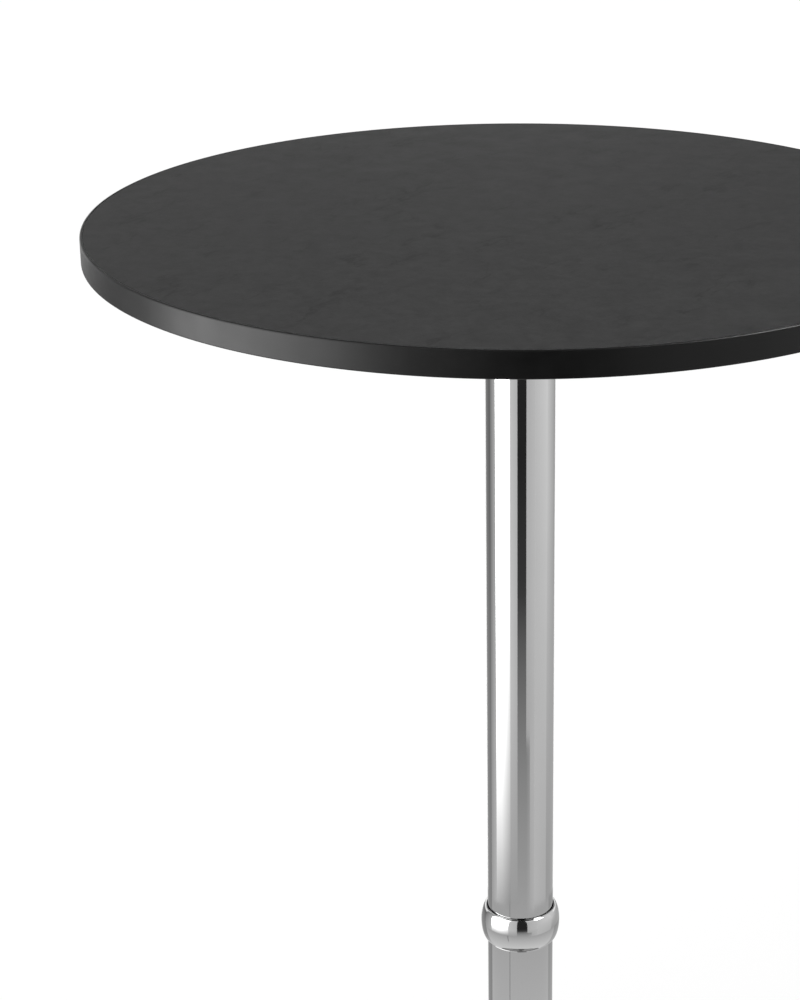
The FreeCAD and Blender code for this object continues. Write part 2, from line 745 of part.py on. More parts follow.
def glide_stud():
    """Screw of a levelling glide: thread, hexagon, journal and the rivet head inside the pad."""
    thread_top_z = weight_top_z(GLIDE_CIRCLE_RADIUS + glide_thread_radius) - STACK_GAP
    thread = threaded_shank(glide_thread_radius, GLIDE_THREAD_PITCH, glide_hex_top_z, thread_top_z)
    hexagonal = hexagon(GLIDE_FLATS, glide_hex_bottom_z, glide_hex_top_z)
    journal = cylinder(glide_thread_radius, glide_rivet_bottom_z, glide_hex_bottom_z)
    rivet = cylinder(GLIDE_RIVET_RADIUS, glide_rivet_bottom_z, glide_rivet_bottom_z + GLIDE_RIVET_HEIGHT)
    return thread.fuse(hexagonal).fuse(journal).fuse(rivet)


def glide_pad():
    """Plastic foot of a levelling glide, snapped over the rivet head so that the screw turns in it."""
    pad_radius = GLIDE_PAD_DIAMETER / 2
    room_radius = GLIDE_RIVET_RADIUS + GLIDE_RIVET_FIT
    room_top_z = glide_rivet_bottom_z + GLIDE_RIVET_HEIGHT + GLIDE_RIVET_FIT
    bore_radius = glide_thread_radius + GLIDE_RUNNING_FIT
    return turned_polygon(
        [
            (0, 0),
            (pad_radius - EDGE_BREAK, 0),
            (pad_radius, EDGE_BREAK),
            (pad_radius, GLIDE_PAD_HEIGHT - GLIDE_PAD_BEVEL),
            (pad_radius - GLIDE_PAD_BEVEL, GLIDE_PAD_HEIGHT),
            (bore_radius, GLIDE_PAD_HEIGHT),
            (bore_radius, room_top_z),
            (room_radius, room_top_z),
            (room_radius, GLIDE_PAD_FLOOR),
            (0, GLIDE_PAD_FLOOR),
        ]
    )


def all_parts():
    """Every node's name and shape."""
    tube_lower_top_z = shoulder_bottom_z
    tube_upper_bottom_z = shoulder_top_z
    lower_plug_top_z = tube_lower_top_z - PLUG_RECESS
    upper_plug_bottom_z = tube_upper_bottom_z + PLUG_RECESS
    parts = {
        "tabletop_core": tabletop_core(),
        "top_laminate": top_laminate(),
        "back_laminate": back_laminate(),
        "edge_band": edge_band(),
        "insert_nuts": insert_nuts(),
        "support_cross": support_cross(),
        "support_washers": support_washers(),
        "support_screws": support_screws(),
        "support_hub": support_hub(),
        "head_bolt": head_bolt(),
        "head_lock_washer": head_lock_washer(),
        "upper_head_plug": tapped_plug(head_bolt_radius, head_plug_bottom_z, head_plug_top_z),
        "upper_tube": tube(tube_upper_bottom_z, cross_bottom_z),
        "upper_joint_plug": tapped_plug(
            stud_radius, upper_plug_bottom_z, upper_plug_bottom_z + JOINT_PLUG_THICKNESS
        ),
        "joint_collar": joint_collar(),
        "joint_stud": joint_stud(),
        "lower_joint_plug": tapped_plug(
            stud_radius, lower_plug_top_z - JOINT_PLUG_THICKNESS, lower_plug_top_z
        ),
        "lower_tube": tube(tube_foot_z, tube_lower_top_z),
        "lower_foot_plug": tapped_plug(base_bolt_radius, foot_plug_bottom_z, foot_plug_top_z),
        "neck_ring": neck_ring(),
        "base_cover": base_cover(),
        "base_weight": base_weight(),
        "base_bolt": base_bolt(),
        "base_lock_washer": base_lock_washer(),
        "base_washer": base_washer(),
    }
    studs = around(glide_stud(), GLIDE_COUNT, GLIDE_CIRCLE_RADIUS, GLIDE_START_DEG)
    pads = around(glide_pad(), GLIDE_COUNT, GLIDE_CIRCLE_RADIUS, GLIDE_START_DEG)
    for number, (stud, pad) in enumerate(zip(studs, pads), start=1):
        parts[f"glide_stud_{number}"] = stud
        parts[f"glide_pad_{number}"] = pad
    return parts


def main():
    os.makedirs(OUT, exist_ok=True)
    for name, shape in all_parts().items():
        solids = shape.Solids
        valid = shape.isValid() and all(s.Volume > 0 for s in solids)
        shape.exportStep(os.path.join(OUT, name + ".step"))
        print(f"{name:18s} solids {len(solids)} volume {shape.Volume:12.1f} mm3 valid {valid}")


main()
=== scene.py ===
"""Looks of the round pub table: charcoal laminate top, black edge band, chromed column and spun base.

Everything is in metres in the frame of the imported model: origin on the floor, +Z up, front towards -Y.
"""

import math

import bpy
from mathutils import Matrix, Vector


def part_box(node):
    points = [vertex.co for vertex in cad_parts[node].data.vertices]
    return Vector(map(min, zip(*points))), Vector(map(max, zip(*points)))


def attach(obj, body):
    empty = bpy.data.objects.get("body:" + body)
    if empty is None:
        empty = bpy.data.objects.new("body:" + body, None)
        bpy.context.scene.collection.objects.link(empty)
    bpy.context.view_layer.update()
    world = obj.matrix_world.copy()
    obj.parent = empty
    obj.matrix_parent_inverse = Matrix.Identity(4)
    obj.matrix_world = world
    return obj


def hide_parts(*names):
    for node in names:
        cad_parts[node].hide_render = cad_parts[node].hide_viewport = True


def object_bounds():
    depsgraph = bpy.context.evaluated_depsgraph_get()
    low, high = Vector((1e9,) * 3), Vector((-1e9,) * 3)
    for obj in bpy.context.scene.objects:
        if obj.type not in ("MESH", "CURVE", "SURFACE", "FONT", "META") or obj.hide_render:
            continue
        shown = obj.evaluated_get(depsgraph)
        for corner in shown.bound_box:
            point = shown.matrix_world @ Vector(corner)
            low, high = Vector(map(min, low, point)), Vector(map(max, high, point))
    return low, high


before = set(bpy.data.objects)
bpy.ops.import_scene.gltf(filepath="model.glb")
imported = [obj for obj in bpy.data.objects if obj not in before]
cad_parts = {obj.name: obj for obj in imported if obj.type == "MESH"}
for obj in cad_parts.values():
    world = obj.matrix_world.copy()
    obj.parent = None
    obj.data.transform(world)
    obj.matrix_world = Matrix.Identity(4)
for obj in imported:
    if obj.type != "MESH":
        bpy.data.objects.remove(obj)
cad_low, cad_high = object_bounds()

MM = 0.001
TURN = 2 * math.pi

# Fineness of the turned pieces
SEGMENTS = 256
PAD_SEGMENTS = 96
ARC_STEPS = 12
SHOULDER_STEPS = 16
EDGE_STEPS = 8
SMALL_STEPS = 5
TINY_STEPS = 4
TOP_RINGS = (0.75, 0.5, 0.25)
SHARP_ANGLE = math.radians(32)
SAME_POINT = 1e-7
LONG_STRETCH = 2.0 * MM
BRACE = 0.12 * MM

# Table top
GLUE_RADIUS = 297.8 * MM
BAND_BORE = 298.0 * MM
BAND_THICK = 2.0 * MM
BAND_ROUND = 1.1 * MM
SEAM_BEVEL = 0.3 * MM
GLUE_SUNK = 0.35 * MM
BUTT_GAP = 0.15 * MM

# Column
TUBE_WALL = 1.5 * MM
TUBE_END_BREAK = 0.3 * MM
SLIP_FIT = 0.15 * MM
COLLAR_BELLY_DEPTH = 13.0 * MM
COLLAR_TOP_LIP_RADIUS = 25.9 * MM
COLLAR_TOP_LIP_FLAT = 0.2 * MM
COLLAR_FUNNEL_DEPTH = 1.6 * MM
COLLAR_BOTTOM_LIP = 0.25 * MM
COLLAR_FOOT_FLARE = 0.12 * MM
COLLAR_FOOT_HEIGHT = 0.7 * MM
COLLAR_SHOULDER = 3.0 * MM
COLLAR_SHOULDER_BORE = 20.0 * MM

# Base cover and its neck ring
COVER_SHEET = 1.2 * MM
COVER_CORNER_ROUND = 2.4 * MM
COVER_HEM = 10.0 * MM
COVER_SKIRT_HEIGHT = 6.5 * MM
COVER_SHOULDER_ROUND = 6.0 * MM
COVER_SLOPE = math.radians(3.0)
COVER_FLARE_ROUND = 40.0 * MM
COVER_NECK_RADIUS = 26.5 * MM
NECK_RING_FLAT = 0.8 * MM

# Levelling glides
GLIDE_COUNT = 4
PAD_BEVEL = 1.6 * MM
PAD_ROUND = 0.5 * MM
PAD_BORE = 4.1 * MM
PAD_ROOM_RADIUS = 5.9 * MM
PAD_FLOOR = 0.9 * MM
PAD_ROOM_TOP = 3.0 * MM
PAD_DISH = 0.35 * MM
PAD_DISH_SHARE = 0.6
PAD_TREAD_SHARE = 0.72

# Camera, fitted to the top's ellipse and the column. The sensor and the lens are in millimetres.
SENSOR = 36.0
LENS = 88.89
CAMERA_DISTANCE = 1.6578
CAMERA_ABOVE_TOP = 0.4326
CAMERA_PITCH = math.radians(21.14)
CAMERA_SHIFT_X = -0.1203


# Turned meshes


def arc(centre, radius, start_deg, end_deg, steps=ARC_STEPS, rise=None):
    """Points of a round stretch of a profile, or with a rise of its own an elliptic one.

    Angles are measured from the outward direction.
    """
    rise = radius if rise is None else rise
    points = []
    for k in range(steps + 1):
        angle = math.radians(start_deg + (end_deg - start_deg) * k / steps)
        points.append((centre[0] + radius * math.cos(angle), centre[1] + rise * math.sin(angle)))
    return points


def rounded(corner, radius, start_deg, steps=EDGE_STEPS):
    """A quarter round in a corner of a profile.

    It starts at -90 in a lower outer corner, 0 in an upper outer one, 90 in an upper inner one and 180 in a
    lower inner one.
    """
    middle = math.radians(start_deg + 45)
    centre_r = corner[0] - math.copysign(radius, math.cos(middle))
    centre_z = corner[1] - math.copysign(radius, math.sin(middle))
    return arc((centre_r, centre_z), radius, start_deg, start_deg + 90, steps)


def braced(profile):
    """The closed profile without repeated points, and with points just inside the ends of its long stretches.

    They keep the shading of a long straight face from bending towards the round edges beside it.
    """
    kept = []
    for point in profile:
        if not kept or math.dist(point, kept[-1]) > SAME_POINT:
            kept.append(point)
    if math.dist(kept[0], kept[-1]) <= SAME_POINT:
        kept.pop()
    made = []
    for start, end in zip(kept, kept[1:] + kept[:1]):
        made.append(start)
        length = math.dist(start, end)
        if length > LONG_STRETCH:
            for share in (BRACE / length, 1 - BRACE / length):
                made.append(tuple(a + (b - a) * share for a, b in zip(start, end)))
    return made


def link(made):
    bpy.context.scene.collection.objects.link(made)


def turned(name, profile, centre=(0.0, 0.0), gap=0.0, segments=SEGMENTS):
    """A closed mesh that a closed profile of (radius, height) sweeps round an upright axis.

    A gap, in radians, leaves it open at +Y, with its two ends closed. A profile's point on the axis is one
    vertex, so the faces there are triangles.
    """
    profile = braced(profile)
    columns = segments if gap == 0 else segments + 1
    start = TURN / 4 + gap / 2
    vertices, rings = [], []
    for r, z in profile:
        if r < SAME_POINT:
            rings.append([len(vertices)] * columns)
            vertices.append((centre[0], centre[1], z))
            continue
        first = len(vertices)
        rings.append(list(range(first, first + columns)))
        for k in range(columns):
            angle = start + (TURN - gap) * k / segments
            vertices.append((centre[0] + r * math.cos(angle), centre[1] + r * math.sin(angle), z))
    faces = []
    for low, high in zip(rings, rings[1:] + rings[:1]):
        for k in range(segments):
            after = (k + 1) % columns
            corners = list(dict.fromkeys([low[k], low[after], high[after], high[k]]))
            if len(corners) > 2:
                faces.append(corners)
    if gap:
        faces.append([ring[0] for ring in rings])
        faces.append([ring[-1] for ring in reversed(rings)])
    mesh = bpy.data.meshes.new(name)
    mesh.from_pydata(vertices, [], faces)
    mesh.validate()
    mesh.shade_smooth()
    mesh.set_sharp_from_angle(angle=SHARP_ANGLE)
    made = bpy.data.objects.new(name, mesh)
    link(made)
    return made


def box_sizes(node):
    """Half width, lowest and highest level of a node."""
    low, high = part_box(node)
    return (high.x - low.x) / 2, low.z, high.z


def top_face():
    """The laminate sheet, with rings in its upper face that keep its facets from being long and thin."""
    _, low, high = box_sizes("top_laminate")
    edge = rounded((GLUE_RADIUS, high), SEAM_BEVEL, 0, SMALL_STEPS)
    inner = [(GLUE_RADIUS * share, high) for share in TOP_RINGS]
    return turned("top_face", [(0, low), (GLUE_RADIUS, low)] + edge + inner + [(0, high)])


def glue_line():
    """The thin dark line of glue between the board's sheets and the band, seen in the seam."""
    _, low, high = box_sizes("edge_band")
    middle = (GLUE_RADIUS + BAND_BORE) / 2
    half = (BAND_BORE - GLUE_RADIUS) / 2
    crest = arc((middle, high - GLUE_SUNK - half), half, 0, 180, TINY_STEPS)
    trough = arc((middle, low + GLUE_SUNK + half), half, 180, 360, TINY_STEPS)
    return turned("glue_line", crest + trough)


def edge_trim():
    """The edge band, with its butt joint at the back.

    The facets of the CAD mesh fall a little short of its radius, which is made good here.
    """
    outer, low, high = box_sizes("edge_band")
    outer = max(outer, BAND_BORE + BAND_THICK)
    profile = rounded((outer, low), BAND_ROUND, -90)
    profile += rounded((outer, high), BAND_ROUND, 0)
    profile += rounded((BAND_BORE, high), SEAM_BEVEL, 90, TINY_STEPS)
    profile += rounded((BAND_BORE, low), SEAM_BEVEL, 180, TINY_STEPS)
    return turned("edge_trim", profile, gap=BUTT_GAP / outer, segments=2 * SEGMENTS)


def tube_piece(name, node):
    outer, low, high = box_sizes(node)
    profile = [(outer - TUBE_WALL, low)]
    profile += rounded((outer, low), TUBE_END_BREAK, -90, TINY_STEPS)
    profile += rounded((outer, high), TUBE_END_BREAK, 0, TINY_STEPS)
    profile += [(outer - TUBE_WALL, high)]
    return turned(name, profile)


def collar():
    """The collar over the joint: a rounded belly, a funnel above, and inside a shoulder between the tubes."""
    belly, low, high = box_sizes("joint_collar")
    bore = box_sizes("upper_tube")[0] + SLIP_FIT
    belly_z = high - COLLAR_BELLY_DEPTH
    lip = COLLAR_TOP_LIP_RADIUS
    bottom_lip = bore + COLLAR_BOTTOM_LIP
    middle = (low + high) / 2
    drop = belly_z - low - COLLAR_FOOT_HEIGHT
    profile = [(bottom_lip + COLLAR_FOOT_FLARE, low)]
    profile += arc((bottom_lip, belly_z), belly - bottom_lip, -90, 0, 3 * ARC_STEPS, rise=drop)
    profile += arc((lip, belly_z), belly - lip, 0, 90, 3 * ARC_STEPS, rise=high - belly_z)
    profile += [
        (lip - COLLAR_TOP_LIP_FLAT, high),
        (bore, high - COLLAR_FUNNEL_DEPTH),
        (bore, middle + COLLAR_SHOULDER / 2),
        (COLLAR_SHOULDER_BORE, middle + COLLAR_SHOULDER / 2),
        (COLLAR_SHOULDER_BORE, middle - COLLAR_SHOULDER / 2),
        (bore, middle - COLLAR_SHOULDER / 2),
        (bore, low),
    ]
    return turned("collar", profile)


def cover_side(inset):
    """One face of the spun cover, from the hem's free edge to the top of its neck."""
    outer, low, neck_top = box_sizes("base_cover")
    skirt_top = low + COVER_SKIRT_HEIGHT
    slope_deg = math.degrees(COVER_SLOPE)
    normal = (math.sin(COVER_SLOPE), math.cos(COVER_SLOPE))
    shoulder = (outer - COVER_SHOULDER_ROUND, skirt_top)
    shoulder_end_r = shoulder[0] + normal[0] * COVER_SHOULDER_ROUND
    shoulder_end_z = shoulder[1] + normal[1] * COVER_SHOULDER_ROUND
    # The flare's centre lies its radius above the sloping face, which starts where the shoulder ends
    flare_r = COVER_NECK_RADIUS + COVER_FLARE_ROUND
    rise = COVER_FLARE_ROUND - (flare_r - shoulder_end_r) * normal[0]
    flare = (flare_r, shoulder_end_z + rise / normal[1])
    corner = (outer - COVER_CORNER_ROUND, low + COVER_CORNER_ROUND)
    small = COVER_CORNER_ROUND - inset
    round_edge = COVER_SHOULDER_ROUND - inset
    sweep = COVER_FLARE_ROUND + inset
    side = [(corner[0] - COVER_HEM, low + inset)]
    side += arc(corner, small, -90, 0, EDGE_STEPS)
    side += arc(shoulder, round_edge, 0, 90 - slope_deg, SHOULDER_STEPS)
    side += arc(flare, sweep, 270 - slope_deg, 180, 4 * ARC_STEPS)
    side += [(COVER_NECK_RADIUS - inset, neck_top)]
    return side


def base_shell():
    inner = cover_side(COVER_SHEET)
    return turned("base_shell", cover_side(0.0) + inner[::-1])


def neck_trim():
    belly, low, high = box_sizes("neck_ring")
    bore = box_sizes("lower_tube")[0] + SLIP_FIT
    edge = COVER_NECK_RADIUS + NECK_RING_FLAT
    half = (high - low) / 2
    bulge = belly - edge
    radius = (half**2 + bulge**2) / (2 * bulge)
    lean = math.degrees(math.asin(half / radius))
    round_side = arc((belly - radius, low + half), radius, -lean, lean, 2 * ARC_STEPS)
    return turned("neck_trim", [(bore, low)] + round_side + [(bore, high)])


def glide_foot(number):
    """The nylon foot of a glide, dished a little underneath as moulded ones are."""
    node = f"glide_pad_{number}"
    low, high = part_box(node)
    centre = ((low.x + high.x) / 2, (low.y + high.y) / 2)
    outer = (high.x - low.x) / 2
    profile = [
        (0, low.z + PAD_DISH),
        (outer * PAD_DISH_SHARE, low.z + PAD_DISH),
        (outer * PAD_TREAD_SHARE, low.z),
    ]
    profile += rounded((outer, low.z), PAD_ROUND, -90, SMALL_STEPS)
    profile += rounded((outer, high.z), PAD_BEVEL, 0)
    profile += [
        (PAD_BORE + PAD_ROUND, high.z),
        (PAD_BORE, high.z - PAD_ROUND),
        (PAD_BORE, low.z + PAD_ROOM_TOP),
        (PAD_ROOM_RADIUS, low.z + PAD_ROOM_TOP),
        (PAD_ROOM_RADIUS, low.z + PAD_FLOOR),
        (0, low.z + PAD_FLOOR),
    ]
    return turned(f"glide_foot_{number}", profile, centre=centre, segments=PAD_SEGMENTS)


# Materials. A noise's scale is in grains a metre, so 900 gives grains of about a millimetre, or in grains a
# radian round the axis. Slants are in radians.

NOISE_SPAN = (0.3, 0.7)
HAIRLINE_SLANT = 0.6
VEIN_SLANT = math.radians(-60)
ARRIS = 0.8 * MM
SCUFF_HEIGHT = 1.5 * MM


def add(tree, kind, inputs=None, **settings):
    """A new node; an input given as a socket is linked, and any other value is set on the input."""
    made = tree.nodes.new(kind)
    for key, value in settings.items():
        setattr(made, key, value)
    for key, value in (inputs or {}).items():
        if isinstance(value, bpy.types.NodeSocket):
            tree.links.new(value, made.inputs[key])
        else:
            made.inputs[key].default_value = value
    return made


def grey(value, tint=(1.0, 1.0, 1.0)):
    return tuple(value * t for t in tint) + (1.0,)


def place(tree):
    return add(tree, "ShaderNodeTexCoord").outputs["Object"]


def stretched(tree, vector, scale):
    """Coordinates scaled by a different amount on each axis."""
    return add(tree, "ShaderNodeMapping", {"Vector": vector, "Scale": scale}).outputs["Vector"]


def slanted(tree, vector, angle, along, across):
    """Coordinates turned by an angle round the upright axis, with one scale along and another across."""
    at = add(tree, "ShaderNodeMapping", {"Vector": vector, "Rotation": (0, 0, angle)}).outputs["Vector"]
    return stretched(tree, at, (along, across, across))


def round_axis(tree, vector):
    """Coordinates as the angle round the column's axis, the distance from it, and the height."""
    parts = add(tree, "ShaderNodeSeparateXYZ", {"Vector": vector}).outputs
    angle = add(tree, "ShaderNodeMath", {0: parts["Y"], 1: parts["X"]}, operation="ARCTAN2")
    flat = add(tree, "ShaderNodeCombineXYZ", {"X": parts["X"], "Y": parts["Y"]})
    reach = add(tree, "ShaderNodeVectorMath", {0: flat.outputs[0]}, operation="LENGTH")
    joined = {"X": angle.outputs[0], "Y": reach.outputs["Value"], "Z": parts["Z"]}
    return add(tree, "ShaderNodeCombineXYZ", joined).outputs[0]


def noise(tree, vector, scale, detail=3.0, roughness=0.5):
    inputs = {"Vector": vector, "Scale": scale, "Detail": detail, "Roughness": roughness}
    return add(tree, "ShaderNodeTexNoise", inputs).outputs["Fac"]


def streaks(tree, vector, scales, detail=3.0, roughness=0.5):
    """Noise with a scale of its own on each axis."""
    return noise(tree, stretched(tree, vector, scales), 1.0, detail, roughness)


def spread(tree, value, low, high, to_low=0.0, to_high=1.0):
    """A value mapped from one range to another, held inside it."""
    inputs = {"Value": value, "From Min": low, "From Max": high, "To Min": to_low, "To Max": to_high}
    return add(tree, "ShaderNodeMapRange", inputs, clamp=True).outputs["Result"]


def varied(tree, value, to_low, to_high):
    """A noise mapped to the range that it mostly fills."""
    return spread(tree, value, *NOISE_SPAN, to_low, to_high)


def times(tree, a, b):
    return add(tree, "ShaderNodeMath", {0: a, 1: b}, operation="MULTIPLY").outputs[0]


def plus(tree, a, b):
    return add(tree, "ShaderNodeMath", {0: a, 1: b}, operation="ADD").outputs[0]


def blend(tree, share, first, second):
    """A mix of two colours; 6, 7 and 2 are the numbers of the node's colour sockets."""
    inputs = {0: share, 6: first, 7: second}
    return add(tree, "ShaderNodeMix", inputs, data_type="RGBA").outputs[2]


def bump(tree, height, depth, strength=1.0, under=None):
    """A surface raised by a height from 0 to 1, over a depth in metres and over any bump under it."""
    inputs = {"Height": height, "Distance": depth, "Strength": strength}
    if under is not None:
        inputs["Normal"] = under
    return add(tree, "ShaderNodeBump", inputs).outputs["Normal"]


def finish(name, recipe):
    """A material whose recipe links its Principled shader's sockets."""
    made = bpy.data.materials.new(name)
    made.use_nodes = True
    tree = made.node_tree
    shader = tree.nodes["Principled BSDF"]
    for key, value in recipe(tree).items():
        if isinstance(value, bpy.types.NodeSocket):
            tree.links.new(value, shader.inputs[key])
        else:
            shader.inputs[key].default_value = value
    return made


def hairlines(tree, vector, angle, along, across, threshold):
    """A few fine straight scratches in one direction."""
    lines = noise(tree, slanted(tree, vector, angle, along, across), 1.0, detail=1.0)
    return spread(tree, lines, threshold, threshold + 0.02)


def veins(tree, vector, angle, along, across, width):
    """Thin wavy lines that run mostly in one direction and break off here and there."""
    at = slanted(tree, vector, angle, along, across)
    folds = plus(tree, noise(tree, at, 1.0, detail=5.0, roughness=0.6), -0.5)
    depth = add(tree, "ShaderNodeMath", {0: folds}, operation="ABSOLUTE").outputs[0]
    breaks = spread(tree, noise(tree, at, 3.2, detail=2.0), 0.44, 0.6)
    return times(tree, spread(tree, depth, 0.0, width, 1.0, 0.0), breaks)


def laminate_recipe(tree):
    """Charcoal laminate: pebbled press finish, faint mottling, slanting darker veins and a few hairlines."""
    at = place(tree)
    pebbles = noise(tree, at, 900.0, roughness=0.6)
    specks = noise(tree, at, 420.0, detail=2.0)
    clouds = noise(tree, at, 130.0, detail=2.0)
    drifts = noise(tree, at, 36.0)
    dark = veins(tree, at, VEIN_SLANT, along=8.0, across=20.0, width=0.016)
    rubs = hairlines(tree, at, HAIRLINE_SLANT, along=9.0, across=1500.0, threshold=0.74)
    mottle = plus(tree, times(tree, plus(tree, specks, clouds), 0.38), times(tree, drifts, 0.24))
    colour = blend(tree, spread(tree, mottle, 0.36, 0.64), grey(0.0142), grey(0.025))
    colour = blend(tree, dark, colour, grey(0.0095))
    colour = blend(tree, times(tree, rubs, 0.25), colour, grey(0.06))
    roughness = plus(tree, varied(tree, drifts, 0.5, 0.58), times(tree, pebbles, 0.05))
    return {
        "Base Color": colour,
        "Roughness": roughness,
        "Specular IOR Level": 0.22,
        "Normal": bump(tree, pebbles, 0.06 * MM, strength=0.6),
    }


def band_recipe(tree):
    """Extruded black plastic: satin, with faint lines along the band and small scuffs."""
    at = place(tree)
    polar = round_axis(tree, at)
    drawn = streaks(tree, polar, (9.0, 1.0, 3000.0))
    cloud = noise(tree, at, 60.0)
    scuffs = spread(tree, streaks(tree, polar, (60.0, 1.0, 900.0), detail=4.0), 0.66, 0.8)
    colour = blend(tree, cloud, grey(0.0015), grey(0.0035))
    colour = blend(tree, times(tree, scuffs, 0.2), colour, grey(0.02))
    roughness = plus(tree, varied(tree, cloud, 0.34, 0.4), times(tree, scuffs, 0.12))
    return {
        "Base Color": colour,
        "Roughness": roughness,
        "Specular IOR Level": 0.2,
        "Normal": bump(tree, drawn, 0.01 * MM, strength=0.5),
    }


def glue_recipe(tree):
    at = place(tree)
    lumps = noise(tree, at, 400.0)
    return {
        "Base Color": blend(tree, lumps, grey(0.004), grey(0.012, (1.0, 0.9, 0.8))),
        "Roughness": varied(tree, lumps, 0.5, 0.8),
        "Normal": bump(tree, lumps, 0.04 * MM),
    }


def backing_recipe(tree):
    """Black balancing sheet: dull, a little fibrous, with dusty patches."""
    at = place(tree)
    fibres = streaks(tree, at, (250.0, 1500.0, 1500.0))
    dust = noise(tree, at, 20.0, detail=5.0, roughness=0.6)
    colour = blend(tree, spread(tree, dust, 0.4, 0.75), grey(0.016), grey(0.026, (1.0, 0.98, 0.94)))
    return {
        "Base Color": colour,
        "Roughness": varied(tree, dust, 0.56, 0.66),
        "Specular IOR Level": 0.35,
        "Normal": bump(tree, fibres, 0.03 * MM, strength=0.6),
    }


def chrome_recipe(tree):
    """Bright plating: near mirror, with faint polishing lines round the axis and a slight haze."""
    at = place(tree)
    polar = round_axis(tree, at)
    lines = streaks(tree, polar, (3.0, 2500.0, 2500.0), detail=2.0)
    waves = noise(tree, at, 45.0, detail=2.0)
    haze = noise(tree, at, 25.0, detail=4.0, roughness=0.6)
    colour = blend(tree, haze, grey(0.505), grey(0.535))
    fine = bump(tree, lines, 0.0012 * MM, strength=0.5)
    return {
        "Base Color": colour,
        "Metallic": 1.0,
        "Roughness": spread(tree, haze, 0.35, 0.75, 0.035, 0.075),
        "Normal": bump(tree, waves, 0.012 * MM, strength=0.5, under=fine),
    }


def powder_recipe(tree):
    """Black powder coat: fine orange peel, dulled and rubbed on its arrises."""
    at = place(tree)
    peel = noise(tree, at, 700.0, detail=2.0)
    cloud = noise(tree, at, 35.0)
    soft = add(tree, "ShaderNodeBevel", {"Radius": ARRIS}, samples=4).outputs["Normal"]
    flat = add(tree, "ShaderNodeNewGeometry").outputs["Normal"]
    agree = add(tree, "ShaderNodeVectorMath", {0: soft, 1: flat}, operation="DOT_PRODUCT").outputs["Value"]
    rubbed = times(tree, spread(tree, agree, 0.99, 0.85), spread(tree, cloud, 0.45, 0.65))
    colour = blend(tree, cloud, grey(0.014), grey(0.022))
    return {
        "Base Color": blend(tree, rubbed, colour, grey(0.16)),
        "Roughness": plus(tree, varied(tree, peel, 0.42, 0.55), times(tree, rubbed, -0.1)),
        "Normal": bump(tree, peel, 0.05 * MM, strength=0.7),
    }


def zinc_recipe(tree):
    """Bright zinc plating: dull silver with a faint warm and cool bloom."""
    at = place(tree)
    bloom = noise(tree, at, 180.0)
    grain = noise(tree, at, 2500.0, detail=2.0)
    colour = blend(tree, bloom, grey(0.5, (1.03, 1.0, 0.92)), grey(0.6, (0.96, 1.0, 1.05)))
    return {
        "Base Color": colour,
        "Metallic": 1.0,
        "Roughness": plus(tree, varied(tree, bloom, 0.22, 0.34), times(tree, grain, 0.06)),
        "Normal": bump(tree, grain, 0.006 * MM, strength=0.5),
    }


def raw_steel_recipe(tree):
    """Turned steel under a film of oil, with tool marks round the axis."""
    at = place(tree)
    marks = streaks(tree, round_axis(tree, at), (2.0, 3000.0, 3000.0), detail=2.0)
    film = noise(tree, at, 60.0, detail=4.0)
    return {
        "Base Color": blend(tree, film, grey(0.3, (1.02, 1.0, 0.97)), grey(0.38)),
        "Metallic": 1.0,
        "Roughness": varied(tree, film, 0.25, 0.4),
        "Normal": bump(tree, marks, 0.01 * MM, strength=0.6),
    }


def casting_recipe(tree):
    """Sand-cast iron under black dip paint: grainy skin, pits and a little rust where it is thin."""
    at = place(tree)
    sand = noise(tree, at, 650.0, detail=5.0, roughness=0.65)
    swells = noise(tree, at, 45.0)
    thin = spread(tree, noise(tree, at, 28.0, detail=6.0, roughness=0.7), 0.62, 0.74)
    paint = blend(tree, swells, grey(0.018), grey(0.03))
    rough = bump(tree, sand, 0.3 * MM, strength=0.8)
    return {
        "Base Color": blend(tree, times(tree, thin, 0.7), paint, (0.11, 0.045, 0.02, 1.0)),
        "Roughness": varied(tree, sand, 0.5, 0.8),
        "Normal": bump(tree, swells, 0.8 * MM, strength=0.5, under=rough),
    }


def nylon_recipe(tree):
    """Moulded black nylon: satin, scuffed where it meets the floor."""
    at = place(tree)
    grain = noise(tree, at, 1300.0)
    height = add(tree, "ShaderNodeSeparateXYZ", {"Vector": at}).outputs["Z"]
    scuffs = spread(tree, noise(tree, at, 500.0, detail=4.0), 0.4, 0.7)
    scuffed = times(tree, spread(tree, height, SCUFF_HEIGHT, 0.0), scuffs)
    colour = blend(tree, grain, grey(0.018), grey(0.026))
    return {
        "Base Color": blend(tree, scuffed, colour, grey(0.1)),
        "Roughness": plus(tree, varied(tree, grain, 0.38, 0.5), times(tree, scuffed, 0.25)),
        "Normal": bump(tree, grain, 0.02 * MM, strength=0.6),
    }


def board_recipe(tree):
    """Medium-density fibreboard: brown felted fibres."""
    at = place(tree)
    fibres = streaks(tree, at, (600.0, 900.0, 2500.0), detail=4.0, roughness=0.7)
    patches = noise(tree, at, 30.0)
    mixed = plus(tree, times(tree, fibres, 0.7), times(tree, patches, 0.3))
    return {
        "Base Color": blend(tree, mixed, (0.22, 0.14, 0.08, 1.0), (0.46, 0.33, 0.2, 1.0)),
        "Roughness": varied(tree, fibres, 0.8, 0.95),
        "Normal": bump(tree, fibres, 0.1 * MM, strength=0.7),
    }


